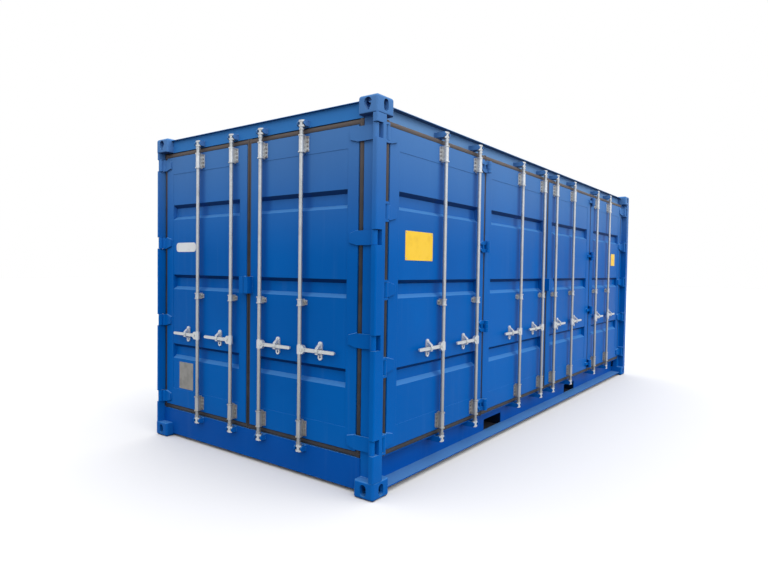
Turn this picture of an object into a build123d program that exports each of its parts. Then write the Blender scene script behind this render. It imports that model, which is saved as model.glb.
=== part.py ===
import os

from build123d import *

os.makedirs("parts", exist_ok=True)

# A 20 ft freight container, in millimetres. The origin is the centre of its footprint on the
# ground, +Z is up. The end doors face -X, the four folding side doors face -Y, and the far end
# and the +Y side are closed.

# Overall box, over the corner castings
length = 6058
width = 2438
height = 2591
half_length = length / 2
half_width = width / 2

# Corner castings
casting_length = 178
casting_width = 162
casting_height = 118
casting_wall = 28
casting_inner_wall = 16
casting_edge = 9
aperture_length = 124.5
aperture_width = 63.5
aperture_from_end = 102.5
aperture_from_side = 89.5
hole_height = 78
hole_width = 50
shield_radius = 30
shield_point_radius = 14
shield_drop = 26

# Door openings: jambs, sill top and header underside
strip_end = 37
strip_side = 96
jamb_recess = 66
jamb_depth = 124
rear_right_post_width = 157
left_post_channel_depth = 164
left_post_channel_width = 59
post_round = 11
sill_top = 240
header_drop = 121

# Door leaves: the outer face is this far behind the outer faces of the castings
leaf_face = 60
leaf_depth = 54
gasket_gap = 40
leaf_gap = 28
meeting_gap = 48
fold_shift = 30
rear_stile = 92
side_stile = 110
leaf_rail = 146
leaf_wall = 4
skin_step = 2
skin_sheet = 3
rib_count = 3
rib_pitch = 600
rib_height = 126
rib_slope = 26
rib_depth = 34

# Gaskets
gasket_step = 2
gasket_depth = 32
gasket_clearance = 1
lip_clearance = 2
gasket_round = 15

# Hinges
pin_depth = 26
pin_inset = 32
side_pin_from_strip = 40
pin_radius = 10
pin_clearance = 0.4
knuckle_radius = 20
blade_thickness = 12
blade_height = 96
blade_tip_height = 60
blade_overlap = 68
hinge_margin = 64
rear_hinge_count = 4
post_hinge_count = 5
fold_hinge_count = 4
hinge_clearance = 1.5
notch_reach = 62
lug_thickness = 16

# Lock rods with their cams and handles
rod_depth = 24
rod_radius = 13.5
rod_bore = 10
inner_rod_offset = 168
outer_rod_offset = 592
side_inner_rod_offset = 175
near_outer_rod_offset = 714
mid_outer_rod_offset = 728
cam_reach = 90
cam_gap = 22
cam_radius = 13
jaw_width = 54
jaw_front = 14
jaw_back = 22
jaw_height = 13
jaw_gap = 20
collar_radius = 18
collar_height = 12
handle_height = 918
handle_length = 330
handle_bar = 26
handle_tip_bar = 22
handle_thickness = 12
hub_radius = 19
hub_height = 62
hub_thickness = 24
hub_shoulder = 36
hub_reach = 54

# Ironwork on the leaves
bracket_length = 122
bracket_margin = 12
sleeve_radius = 18
sleeve_clearance = 0.5
bracket_web = 26
flange_width = 42
flange_end = 8
flange_thickness = 6
guide_height = 1248
guide_length = 50
guide_flange = 38
catch_offset = 170
catch_width = 38
catch_height = 130
catch_thickness = 8
catch_hole_radius = 9
catch_hole_pitch = 88
catch_lip = 5
catch_slope = 34
catch_foot = 18
catch_gap = 4
catch_front = 16

# Lock boxes over the meeting edges
lock_box_width = 100
lock_box_height = 127
lock_box_front = 8
lock_box_wall = 5
lock_box_gap = 6

# Keepers for the cams
keeper_gap = 29
keeper_cheek = 8
keeper_front = 12
keeper_base = 6
keeper_height = 40
keeper_margin = 8
keeper_corner = 12
boss_width = 30
boss_clearance = 3

# Headers and sills
rear_beam_face = 62
side_header_face = 112
side_header_depth = 80
beam_wall = 6
rear_lip_reach = 22
rear_lip_rise = 10
side_lip_reach = 48
side_lip_rise = 2
lip_thickness = 4
roof_drop = 28
rear_sill_bottom = 25
side_sill_web = 145
side_sill_flange_edge = 72
side_sill_flange = 8
side_sill_ledge_edge = 25
side_sill_bottom = 38
ledge_thickness = 8
ledge_rise = 6

# Closed side, front end, roof and floor
wall_inset = 12
wall_sheet = 3
side_wave_pitch = 278
side_wave_crest = 72
side_wave_slope = 68
side_wave_depth = 36
front_wave_pitch = 250
front_wave_crest = 84
front_wave_slope = 36
front_wave_depth = 45
rail_bottom = 20
rail_top = 180
rail_outer_inset = 10
rail_flange = 49
top_rail_width = 60
top_rail_flange = 48
front_rail_depth = 55
front_post_width = 114
front_post_flange = 54
front_post_side = 114
roof_sheet = 3
roof_lap = 16
roof_rib_pitch = 206
roof_rib_width = 92
roof_rib_height = 18
roof_rib_margin = 70
roof_rib_taper = 40
floor_thickness = 28
cross_member_width = 45
cross_member_wall = 5
cross_member_bottom = 26
cross_member_count = 14
pocket_centre = 1037
pocket_width = 352
pocket_bottom = 32
pocket_top = 148
pocket_plate = 4

# Places worked out from the sizes above
rear = -half_length
front = half_length
side = -half_width
left = half_width
casting_top = casting_height
casting_underside = height - casting_height
casting_x = half_length - casting_length
casting_y = half_width - casting_width
header_bottom = height - header_drop
roof_seat = height - roof_drop
leaf_bottom = sill_top + gasket_gap
leaf_top = header_bottom - gasket_gap
leaf_middle = (leaf_bottom + leaf_top) / 2
floor_bottom = pocket_top + pocket_plate
floor_top = floor_bottom + floor_thickness
rear_left_jamb = strip_end - half_width
rear_right_jamb = half_width - rear_right_post_width
rear_joint = (rear_left_jamb + rear_right_jamb) / 2
side_post_width = casting_length
side_jamb = half_length - side_post_width
fold_joint = (side_jamb - gasket_gap) / 2 + fold_shift
side_pin = half_length - strip_side - side_pin_from_strip
rear_pin = half_width - pin_inset
left_post_face = half_width - pin_inset + knuckle_radius

# Each door wall has its own frame: u to the right as seen from outside, depth inwards, z up
rear_wall = Location((rear, 0, 0), (0, 0, -90))
side_wall = Location((0, side, 0))

nodes = {}


def block(x, y, z):
    place = Pos((x[0] + x[1]) / 2, (y[0] + y[1]) / 2, (z[0] + z[1]) / 2)
    return place * Box(abs(x[1] - x[0]), abs(y[1] - y[0]), abs(z[1] - z[0]))


def post(x, y, radius, z):
    return Pos(x, y, (z[0] + z[1]) / 2) * Cylinder(radius, z[1] - z[0])


def plan(outline, z):
    points = [(x, y, z[0]) for x, y in outline]
    return extrude(make_face(Polyline(*points, close=True)), amount=z[1] - z[0], dir=(0, 0, 1))


def along_x(outline, x):
    points = [(x[0], y, z) for y, z in outline]
    return extrude(make_face(Polyline(*points, close=True)), amount=x[1] - x[0], dir=(1, 0, 0))


def along_y(outline, y):
    points = [(x, y[0], z) for x, z in outline]
    return extrude(make_face(Polyline(*points, close=True)), amount=y[1] - y[0], dir=(0, 1, 0))


def spread(low, high, count):
    return [low + (high - low) * i / (count - 1) for i in range(count)]


def centred(middle, size):
    return (middle - size / 2, middle + size / 2)


# Corner castings: a hollow block with an aperture in its foot and a hole in each outer face
upright_slot = Rot(0, 0, 90) * SlotOverall(hole_height, hole_width)


def casting(end_hole):
    x = (casting_x, half_length)
    y = (casting_y, half_width)
    body = block(x, y, (0, casting_height))
    middles = [(edge, edge.center()) for edge in body.edges()]
    outer = [edge for edge, at in middles if at.X > x[1] - 1 or at.Y > y[1] - 1]
    body = fillet(outer, casting_edge)
    cavity = block(
        (x[0] + casting_inner_wall, x[1] - casting_wall),
        (y[0] + casting_inner_wall, y[1] - casting_wall),
        (casting_wall, casting_height - casting_inner_wall),
    )
    foot = Pos(half_length - aperture_from_end, half_width - aperture_from_side, 0)
    aperture = foot * extrude(SlotOverall(aperture_length, aperture_width), amount=casting_wall + 1)
    end_face = Plane((half_length, (y[0] + y[1]) / 2, casting_height / 2), (0, -1, 0), (1, 0, 0))
    side_face = Plane(((x[0] + x[1]) / 2, half_width, casting_height / 2), (1, 0, 0), (0, 1, 0))
    end_cut = extrude(end_face * end_hole, amount=-casting_wall - 1)
    side_cut = extrude(side_face * upright_slot, amount=-casting_wall - 1)
    return body - cavity - aperture - end_cut - side_cut


def at_four_corners(piece):
    pair = [piece, mirror(piece, about=Plane.YZ)]
    return Compound(children=pair + [mirror(p, about=Plane.XZ) for p in pair])


shield_top = Pos(0, shield_drop / 2) * Circle(shield_radius)
shield_foot = Pos(0, -shield_drop) * Circle(shield_point_radius)
shield = make_hull((shield_top + shield_foot).edges())
nodes["bottom_castings"] = at_four_corners(casting(upright_slot))
upper = mirror(casting(shield), about=Plane.XY.offset(height / 2))
nodes["top_castings"] = at_four_corners(upper)


# Corner posts, from the top of the bottom castings to the underside of the top ones
post_z = (casting_top, casting_underside)
rear_hinges = spread(leaf_bottom + hinge_margin, leaf_top - hinge_margin, rear_hinge_count)
post_hinges = spread(leaf_bottom + hinge_margin, leaf_top - hinge_margin, post_hinge_count)
fold_hinges = spread(leaf_bottom + hinge_margin, leaf_top - hinge_margin, fold_hinge_count)
notch_height = blade_height + 2 * hinge_clearance


def bent(body, x, y):
    middles = [(edge, edge.center()) for edge in body.edges()]
    corner = [edge for edge, at in middles if abs(at.X - x) < 0.1 and abs(at.Y - y) < 0.1]
    return fillet(corner, post_round)


def rear_notched(body, sign):
    pin_x = rear + pin_depth
    pin_y = sign * rear_pin
    for z in rear_hinges:
        cut = block(
            (rear, rear + notch_reach),
            (sign * (half_width - notch_reach), sign * half_width),
            centred(z, notch_height),
        )
        body = body - cut + post(pin_x, pin_y, pin_radius, centred(z, notch_height + lug_thickness))
    return body


def side_lugged(body, sign):
    pin_x = sign * side_pin
    pin_y = side + pin_depth
    wall_x = sign * (half_length - strip_side)
    for z in post_hinges:
        for step in (-1, 1):
            middle = z + step * (notch_height + lug_thickness) / 2
            lug = block((wall_x, pin_x), (pin_y - knuckle_radius, side + jamb_recess), (0, lug_thickness))
            round_end = post(pin_x, pin_y, knuckle_radius, (0, lug_thickness))
            gusset_x = (wall_x, pin_x + (pin_x - wall_x) / 2)
            gusset = block(gusset_x, (pin_y, side + jamb_recess), (0, lug_thickness))
            body = body + Pos(0, 0, middle - lug_thickness / 2) * (lug + round_end + gusset)
        body = body + post(pin_x, pin_y, pin_radius, centred(z, notch_height + lug_thickness))
    return body


rear_right = plan(
    [
        (rear, side),
        (rear, side + strip_end),
        (rear + jamb_recess, side + strip_end),
        (rear + jamb_recess, side + rear_right_post_width),
        (rear + jamb_depth, side + rear_right_post_width),
        (rear + jamb_depth, side + jamb_depth),
        (rear + side_post_width, side + jamb_depth),
        (rear + side_post_width, side + jamb_recess),
        (rear + strip_side, side + jamb_recess),
        (rear + strip_side, side),
    ],
    post_z,
)
rear_right = bent(rear_right, rear, side)
nodes["rear_right_post"] = side_lugged(rear_notched(rear_right, -1), -1)

rear_left = plan(
    [
        (rear, left_post_face),
        (rear, left - strip_end),
        (rear + jamb_depth, left - strip_end),
        (rear + jamb_depth, left - left_post_channel_width),
        (rear + left_post_channel_depth, left - left_post_channel_width),
        (rear + left_post_channel_depth, left_post_face),
    ],
    post_z,
)
nodes["rear_left_post"] = rear_notched(bent(rear_left, rear, left_post_face), 1)

front_right = plan(
    [
        (front, side),
        (front, side + jamb_depth),
        (front - side_post_width, side + jamb_depth),
        (front - side_post_width, side + jamb_recess),
        (front - strip_side, side + jamb_recess),
        (front - strip_side, side),
    ],
    post_z,
)
nodes["front_right_post"] = side_lugged(bent(front_right, front, side), 1)

front_left = plan(
    [
        (front, left),
        (front, left - front_post_width),
        (front - front_post_flange, left - front_post_width),
        (front - front_post_flange, left - front_post_flange),
        (front - front_post_side, left - front_post_flange),
        (front - front_post_side, left),
    ],
    post_z,
)
nodes["front_left_post"] = bent(front_left, front, left)


# Headers: hollow beams with a flat rain lip along the top edge
def header_outline(face, depth, reach, rise):
    return [
        (face, header_bottom),
        (face, roof_seat + rise - lip_thickness),
        (face - reach, roof_seat + rise - lip_thickness),
        (face - reach, roof_seat + rise),
        (face + 2 * beam_wall, roof_seat + rise),
        (face + 2 * beam_wall, roof_seat),
        (face + depth, roof_seat),
        (face + depth, header_bottom),
    ]


def header_hollow(face, depth):
    low = header_bottom + beam_wall
    high = roof_seat - beam_wall
    near = face + 2 * beam_wall
    far = face + depth - beam_wall
    return [(near, low), (near, high), (far, high), (far, low)]


rear_beam_x = rear + rear_beam_face
rear_beam_depth = jamb_depth - rear_beam_face
side_beam_y = side + side_header_face
header_y = (-casting_y, casting_y)
header_x = (-casting_x, casting_x)
rear_outline = header_outline(rear_beam_x, rear_beam_depth, rear_lip_reach, rear_lip_rise)
side_outline = header_outline(side_beam_y, side_header_depth, side_lip_reach, side_lip_rise)
rear_hollow = along_y(header_hollow(rear_beam_x, rear_beam_depth), header_y)
side_hollow = along_x(header_hollow(side_beam_y, side_header_depth), header_x)
nodes["rear_header"] = along_y(rear_outline, header_y) - rear_hollow
nodes["side_header"] = along_x(side_outline, header_x) - side_hollow

# Rear sill: a hollow beam between the castings, wider above them up to the jambs
sill_x = (rear_beam_x, rear + jamb_depth)
low_sill = block(sill_x, header_y, (rear_sill_bottom, casting_top))
high_sill = block(sill_x, (-rear_right_jamb, -rear_left_jamb), (casting_top, sill_top))
sill_hollow = block(
    (sill_x[0] + beam_wall, sill_x[1] - beam_wall),
    (header_y[0] + beam_wall, header_y[1] - beam_wall),
    (rear_sill_bottom + beam_wall, sill_top - beam_wall),
)
nodes["rear_sill"] = low_sill + high_sill - sill_hollow

# Side sill: an open channel with a ledge along its foot, cut for the fork pockets
web_y = side + side_sill_web
side_sill = along_x(
    [
        (side + side_sill_ledge_edge, side_sill_bottom),
        (side + side_sill_ledge_edge, side_sill_bottom + ledge_thickness),
        (web_y, side_sill_bottom + ledge_thickness + ledge_rise),
        (web_y, sill_top - side_sill_flange),
        (side + side_sill_flange_edge, sill_top - side_sill_flange),
        (side + side_sill_flange_edge, sill_top),
        (web_y + beam_wall, sill_top),
        (web_y + beam_wall, side_sill_bottom),
    ],
    header_x,
)
ledge_top = side_sill_bottom + ledge_thickness + ledge_rise
pocket_x = [centred(sign * pocket_centre, pocket_width) for sign in (-1, 1)]
for x in pocket_x:
    side_sill = side_sill - block(x, (web_y - beam_wall, web_y + 2 * beam_wall), (ledge_top, pocket_top))
nodes["side_sill"] = side_sill


# Closed long side: rails and a corrugated wall
rail_face = left - rail_outer_inset
left_rail = along_x(
    [
        (rail_face, rail_bottom),
        (rail_face, rail_top),
        (rail_face - rail_flange, rail_top),
        (rail_face - rail_flange, rail_top - beam_wall),
        (rail_face - beam_wall, rail_top - beam_wall),
        (rail_face - beam_wall, rail_bottom + beam_wall),
        (rail_face - rail_flange, rail_bottom + beam_wall),
        (rail_face - rail_flange, rail_bottom),
    ],
    header_x,
)
for x in pocket_x:
    left_rail = left_rail - block(x, (rail_face - 2 * beam_wall, rail_face + 1), (pocket_bottom, pocket_top))
nodes["left_bottom_rail"] = left_rail


def tube_x(x, y, z):
    inner = block(x, (y[0] + beam_wall, y[1] - beam_wall), (z[0] + beam_wall, z[1] - beam_wall))
    return block(x, y, z) - inner


top_rail_y = (rail_face - top_rail_width, rail_face)
flange_y = (top_rail_y[0] - top_rail_flange, top_rail_y[0])
top_flange = block(header_x, flange_y, (roof_seat - beam_wall, roof_seat))
nodes["left_top_rail"] = tube_x(header_x, top_rail_y, (casting_underside, roof_seat)) + top_flange


def wave(low, high, pitch, crest, slope, depth):
    count = int((high - low - crest) // pitch)
    first = (low + high - count * pitch) / 2
    trough = pitch - crest - 2 * slope
    points = [(low, 0)]
    for i in range(count):
        start = first + i * pitch + crest / 2
        points += [
            (start, 0),
            (start + slope, depth),
            (start + slope + trough, depth),
            (start + 2 * slope + trough, 0),
        ]
    return points + [(high, 0)]


wall_x = (rear + left_post_channel_depth, front - front_post_side)
side_wave = wave(*wall_x, side_wave_pitch, side_wave_crest, side_wave_slope, side_wave_depth)
wall_y = left - wall_inset
outer = [(s, wall_y - d) for s, d in side_wave]
inner = [(s, wall_y - wall_sheet - d) for s, d in reversed(side_wave)]
nodes["left_wall"] = plan(outer + inner, (rail_top, casting_underside))

# Blank front end: rails and a corrugated wall between the front posts
front_wall_y = (side + jamb_depth, left - front_post_width)
front_wave = wave(*front_wall_y, front_wave_pitch, front_wave_crest, front_wave_slope, front_wave_depth)
wall_front = front - wall_inset
outer = [(wall_front - d, s) for s, d in front_wave]
inner = [(wall_front - wall_sheet - d, s) for s, d in reversed(front_wave)]
nodes["front_wall"] = plan(outer + inner, (rail_top, casting_underside))

rail_x = (front - rail_outer_inset - front_rail_depth, front - rail_outer_inset)
low_rail = block(rail_x, header_y, (rail_bottom, casting_top))
high_rail = block(rail_x, front_wall_y, (casting_top, rail_top))
rail_hollow = block(
    (rail_x[0] + beam_wall, rail_x[1] - beam_wall),
    (header_y[0] + beam_wall, header_y[1] - beam_wall),
    (rail_bottom + beam_wall, rail_top - beam_wall),
)
nodes["front_bottom_rail"] = low_rail + high_rail - rail_hollow
top_rail = block(rail_x, header_y, (casting_underside, roof_seat))
top_hollow = block(
    (rail_x[0] + beam_wall, rail_x[1] - beam_wall),
    header_y,
    (casting_underside + beam_wall, roof_seat - beam_wall),
)
nodes["front_top_rail"] = top_rail - top_hollow

# Roof: one sheet that laps the headers and top rails, pressed up into ribs across the container
roof_x = (rear_beam_x + 2 * beam_wall, rail_x[0] + roof_lap)
roof_y = (side_beam_y + 2 * beam_wall, flange_y[0] + roof_lap)
sheet_y = (-casting_y, casting_y)
sheet_x = (-casting_x, casting_x)
roof = block(roof_x, sheet_y, (roof_seat, roof_seat + roof_sheet))
roof = roof + block(sheet_x, roof_y, (roof_seat, roof_seat + roof_sheet))
roof_span = casting_x * 2 - 2 * roof_rib_margin
roof_rib_count = int(roof_span // roof_rib_pitch)
rib_length = 2 * casting_y - 2 * roof_rib_margin
seat = roof_seat + roof_sheet
crest = extrude(Rectangle(roof_rib_width, rib_length), amount=roof_rib_height, taper=roof_rib_taper)
hollow = extrude(
    Rectangle(roof_rib_width - 2 * roof_sheet, rib_length - 2 * roof_sheet),
    amount=roof_rib_height - roof_sheet,
    taper=roof_rib_taper,
)
for i in range(roof_rib_count):
    x = (i - (roof_rib_count - 1) / 2) * roof_rib_pitch
    gap = block(
        centred(x, roof_rib_width - 2 * roof_sheet),
        centred(0, rib_length - 2 * roof_sheet),
        (roof_seat, seat),
    )
    roof = roof + Pos(x, 0, seat) * crest - Pos(x, 0, seat) * hollow - gap
nodes["roof_panel"] = roof

# Floor boards as one deck, on channels that run between the side sill and the closed side's rail
deck_y = (web_y + beam_wall, rail_face - rail_flange)
nodes["floor"] = block((rear + jamb_depth, rail_x[0]), deck_y, (floor_bottom, floor_top))

member_y = (web_y + beam_wall, rail_face - beam_wall)
tunnels = [(low - pocket_plate, high + pocket_plate) for low, high in pocket_x]
clear = cross_member_width / 2 + pocket_plate
members = []
for x in spread(-casting_x + cross_member_width, casting_x - cross_member_width, cross_member_count):
    for low, high in tunnels:
        if low - clear < x < high + clear:
            x = low - clear if x < (low + high) / 2 else high + clear
    reach = centred(x, cross_member_width)
    channel = block(reach, member_y, (cross_member_bottom, floor_bottom)) - block(
        (reach[0] + cross_member_wall, reach[1]),
        member_y,
        (cross_member_bottom + cross_member_wall, floor_bottom - cross_member_wall),
    )
    members.append(channel)
nodes["cross_members"] = Compound(children=members)

pockets = []
for low, high in tunnels:
    shell = block((low, high), member_y, (pocket_bottom - pocket_plate, floor_bottom))
    space = block((low + pocket_plate, high - pocket_plate), member_y, (pocket_bottom, pocket_top))
    pockets.append(shell - space)
nodes["fork_pockets"] = Compound(children=pockets)


# Door leaves, built in the frame of their own wall
leaf_z = (leaf_bottom, leaf_top)
leaf_d = (leaf_face, leaf_face + leaf_depth)


def hollow_bar(u, z):
    outer_bar = block(u, leaf_d, z)
    inner_bar = block(
        (u[0] + leaf_wall, u[1] - leaf_wall),
        (leaf_d[0] + leaf_wall, leaf_d[1] - leaf_wall),
        (z[0] + leaf_wall, z[1] - leaf_wall),
    )
    return outer_bar - inner_bar


def ribbed_skin(u):
    face = leaf_face + skin_step
    line = [(face, leaf_bottom + leaf_rail)]
    for i in range(rib_count):
        z = leaf_middle + (i - (rib_count - 1) / 2) * rib_pitch
        line += [
            (face, z - rib_height / 2),
            (face + rib_depth, z - rib_height / 2 + rib_slope),
            (face + rib_depth, z + rib_height / 2 - rib_slope),
            (face, z + rib_height / 2),
        ]
    line.append((face, leaf_top - leaf_rail))
    back = [(d + skin_sheet, z) for d, z in reversed(line)]
    return along_x(line + back, u)


def panel(u, stiles):
    span = (u[0] + stiles[0], u[1] - stiles[1])
    body = hollow_bar((u[0], span[0]), leaf_z) + hollow_bar((span[1], u[1]), leaf_z)
    body = body + hollow_bar(span, (leaf_bottom, leaf_bottom + leaf_rail))
    body = body + hollow_bar(span, (leaf_top - leaf_rail, leaf_top))
    return body + ribbed_skin(span)


# A hinge blade: a knuckle round the pin, an arm to the leaf edge and a tapered strap on its face
def blade(pin_u, edge_u, z, z_span, bored=True):
    way = 1 if edge_u > pin_u else -1
    shoulder = knuckle_radius + blade_thickness
    reach = max(abs(edge_u - pin_u), shoulder + blade_thickness)
    heel = min(abs(edge_u - pin_u), knuckle_radius)
    near = leaf_face - blade_thickness
    low, high = z_span
    arm = plan(
        [
            (pin_u, pin_depth - pin_radius),
            (pin_u + way * shoulder, near),
            (pin_u + way * reach, near),
            (pin_u + way * reach, leaf_face),
            (pin_u + way * heel, leaf_face),
            (pin_u, pin_depth + knuckle_radius),
        ],
        (low, high),
    )
    root = pin_u + way * reach
    tip = edge_u + way * blade_overlap
    low_tip = max(low, z - blade_tip_height / 2)
    high_tip = min(high, z + blade_tip_height / 2)
    points = [(root, low), (tip, low_tip), (tip, high_tip), (root, high)]
    outline = make_face(Polyline(*[(u, near, v) for u, v in points], close=True))
    strap = extrude(outline, amount=blade_thickness, dir=(0, 1, 0))
    body = arm + strap + post(pin_u, pin_depth, knuckle_radius, z_span)
    if bored:
        body = body - post(pin_u, pin_depth, pin_radius + pin_clearance, (low - 1, high + 1))
    return body


def middle_knuckle(z):
    return centred(z, blade_height / 3)


def outer_knuckles(z):
    third = blade_height / 6 + hinge_clearance
    return [(z - blade_height / 2, z - third), (z + third, z + blade_height / 2)]


# Half of a lock box, open below and towards the other half
def half_lock_box(joint, way):
    near = joint + way * lock_box_gap / 2
    far = joint + way * lock_box_width / 2
    z = centred(leaf_middle, lock_box_height)
    shell = block((near, far), (lock_box_front, leaf_face), z)
    space = block(
        (near, far - way * lock_box_wall),
        (lock_box_front + lock_box_wall, leaf_face),
        (z[0], z[1] - lock_box_wall),
    )
    return shell - space


# A gasket: bars of D section in the gap round a leaf, with their round side outwards
def bead(low, high):
    front_d = leaf_face + gasket_step
    back_d = front_d + gasket_depth
    radius = min(gasket_round, (high - low) * 0.4)
    cut = radius * 0.3
    return [
        (low, back_d),
        (low, front_d + radius),
        (low + cut, front_d + cut),
        (low + radius, front_d),
        (high - radius, front_d),
        (high - cut, front_d + cut),
        (high, front_d + radius),
        (high, back_d),
    ]


def gasket(u, gaps):
    outer_u = (u[0] - gaps[0], u[1] + gaps[1])
    reach_z = gasket_gap - gasket_clearance
    outer_z = (leaf_bottom - reach_z, leaf_top + reach_z)
    body = plan(bead(outer_u[0], u[0]), outer_z) + plan(bead(u[1], outer_u[1]), outer_z)
    for low, high in ((outer_z[0], leaf_bottom), (leaf_top, outer_z[1])):
        body = body + along_x([(d, z) for z, d in bead(low, high)], outer_u)
    return body


# Rod brackets: a sleeve on a web, bolted to the leaf through flanges
def rod_bracket(u, z, flanges, back):
    body = post(u, rod_depth, sleeve_radius, z) + block(centred(u, bracket_web), (rod_depth, back), z)
    flange_z = (z[0] + flange_end, z[1] - flange_end)
    for reach in flanges:
        body = body + block((u, u + reach), (leaf_face - flange_thickness, back), flange_z)
    return body - post(u, rod_depth, rod_radius + sleeve_clearance, (z[0] - 1, z[1] + 1))


# A handle catch: a long plate with two holes, and a wedge above and below the handle
def handle_catch(u):
    back = leaf_face + skin_step
    front_d = leaf_face - catch_thickness
    face = Plane((u, front_d, handle_height), (1, 0, 0), (0, -1, 0))
    outline = SlotOverall(catch_height, catch_width)
    for step in (-1, 1):
        outline = outline - Pos(step * catch_hole_pitch / 2, 0) * Circle(catch_hole_radius)
    body = extrude(face * (Rot(0, 0, 90) * outline), amount=front_d - back)
    for step, rise in ((1, catch_slope), (-1, catch_foot)):
        near = handle_height + step * (handle_bar / 2 + catch_gap)
        wedge = [
            (front_d, near),
            (catch_front, near),
            (catch_front, near + step * catch_lip),
            (front_d, near + step * rise),
        ]
        body = body + along_x(wedge, centred(u, catch_width * 2 / 3))
    return body


def ironwork(rods, flange_side, handle_way):
    pieces = []
    low = (leaf_bottom + bracket_margin, leaf_bottom + bracket_margin + bracket_length)
    high = (leaf_top - bracket_margin - bracket_length, leaf_top - bracket_margin)
    guide = centred(guide_height, guide_length)
    for u in rods:
        pieces.append(rod_bracket(u, low, [flange_side * flange_width], leaf_face))
        pieces.append(rod_bracket(u, high, [flange_side * flange_width], leaf_face))
        pieces.append(rod_bracket(u, guide, [guide_flange, -guide_flange], leaf_face + skin_step))
        pieces.append(handle_catch(u + handle_way * catch_offset))
    return Compound(children=pieces)


# Lock rod: tube, a cam at each end, hub and handle. A cam has a collar and two six-sided jaws.
def cam(u, outer_z, inner_z):
    way = 1 if inner_z > outer_z else -1
    body = post(u, rod_depth, cam_radius, sorted((outer_z, inner_z)))
    body = body + post(u, rod_depth, collar_radius, sorted((inner_z, inner_z - way * collar_height)))
    half = jaw_width / 2
    jaw = [
        (u - half / 2, rod_depth - jaw_front),
        (u + half / 2, rod_depth - jaw_front),
        (u + half, rod_depth),
        (u + half / 2, rod_depth + jaw_back),
        (u - half / 2, rod_depth + jaw_back),
        (u - half, rod_depth),
    ]
    for start in (outer_z, outer_z + way * (jaw_height + jaw_gap)):
        body = body + plan(jaw, sorted((start, start + way * jaw_height)))
    return body


def upright_plate(points, thickness):
    near = rod_depth - thickness / 2
    outline = make_face(Polyline(*[(u, near, z) for u, z in points], close=True))
    return extrude(outline, amount=thickness, dir=(0, 1, 0))


def lock_rod(u, way):
    tube_z = (leaf_bottom - cam_gap, leaf_top + cam_gap)
    body = post(u, rod_depth, rod_radius, tube_z)
    body = body + cam(u, leaf_bottom - cam_reach, leaf_bottom - cam_gap)
    body = body + cam(u, leaf_top + cam_reach, leaf_top + cam_gap)
    body = body + post(u, rod_depth, hub_radius, centred(handle_height, hub_height))
    tip = u + way * (handle_length - handle_tip_bar / 2)
    shoulder = u + way * hub_shoulder
    reach = u + way * hub_reach
    hub = [
        (u, handle_height - hub_height / 2),
        (shoulder, handle_height - hub_height / 2),
        (reach, handle_height - handle_bar / 2),
        (reach, handle_height + handle_bar / 2),
        (shoulder, handle_height + hub_height / 2),
        (u, handle_height + hub_height / 2),
    ]
    bar = [
        (shoulder, handle_height - handle_bar / 2),
        (tip, handle_height - handle_tip_bar / 2),
        (tip, handle_height + handle_tip_bar / 2),
        (shoulder, handle_height + handle_bar / 2),
    ]
    body = body + upright_plate(hub, hub_thickness) + upright_plate(bar, handle_thickness)
    end_face = Plane((tip, rod_depth - handle_thickness / 2, handle_height), (1, 0, 0), (0, 1, 0))
    body = body + extrude(end_face * Circle(handle_tip_bar / 2), amount=handle_thickness)
    return body - post(u, rod_depth, rod_bore, tube_z)


# A keeper: two cheeks on a base plate, and a boss that the cam's jaws close round. It is open to
# the front so that the cam can swing out.
def keeper(u, face, z, boss_z):
    body = block(centred(u, 2 * (keeper_gap + keeper_cheek)), (face - keeper_base, face), z)
    for way in (-1, 1):
        cheek_u = (u + way * keeper_gap, u + way * (keeper_gap + keeper_cheek))
        cheek = [
            (face, z[0]),
            (face, z[1]),
            (keeper_front + keeper_corner, z[1]),
            (keeper_front, z[1] - keeper_corner),
            (keeper_front, z[0] + keeper_corner),
            (keeper_front + keeper_corner, z[0]),
        ]
        body = body + along_x(cheek, sorted(cheek_u))
    boss_d = (rod_depth + cam_radius + boss_clearance, face)
    return body + block(centred(u, boss_width), boss_d, centred(boss_z, jaw_gap - 2 * boss_clearance))


# One entry for each leaf: its wall, meeting edges, hinge pin and rods
half_gap = leaf_gap / 2
half_meeting = meeting_gap / 2
rear_rods = [-outer_rod_offset, -inner_rod_offset, inner_rod_offset, outer_rod_offset]
rear_rods = [rear_joint + offset for offset in rear_rods]
near_rods = [-fold_joint - near_outer_rod_offset, -fold_joint - side_inner_rod_offset]
mid_rods = [-mid_outer_rod_offset, -side_inner_rod_offset]

jamb_reach = gasket_gap - gasket_clearance
fold_reach = half_gap - lip_clearance
meeting_reach = half_meeting - lip_clearance
rear_left_u = (rear_left_jamb + gasket_gap, rear_joint - half_meeting)
rear_right_u = (rear_joint + half_meeting, rear_right_jamb - gasket_gap)
door_1_u = (gasket_gap - side_jamb, -fold_joint - half_gap)
door_2_u = (half_gap - fold_joint, -half_meeting)


def mirrored(u):
    return tuple(-value for value in reversed(u))


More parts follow.
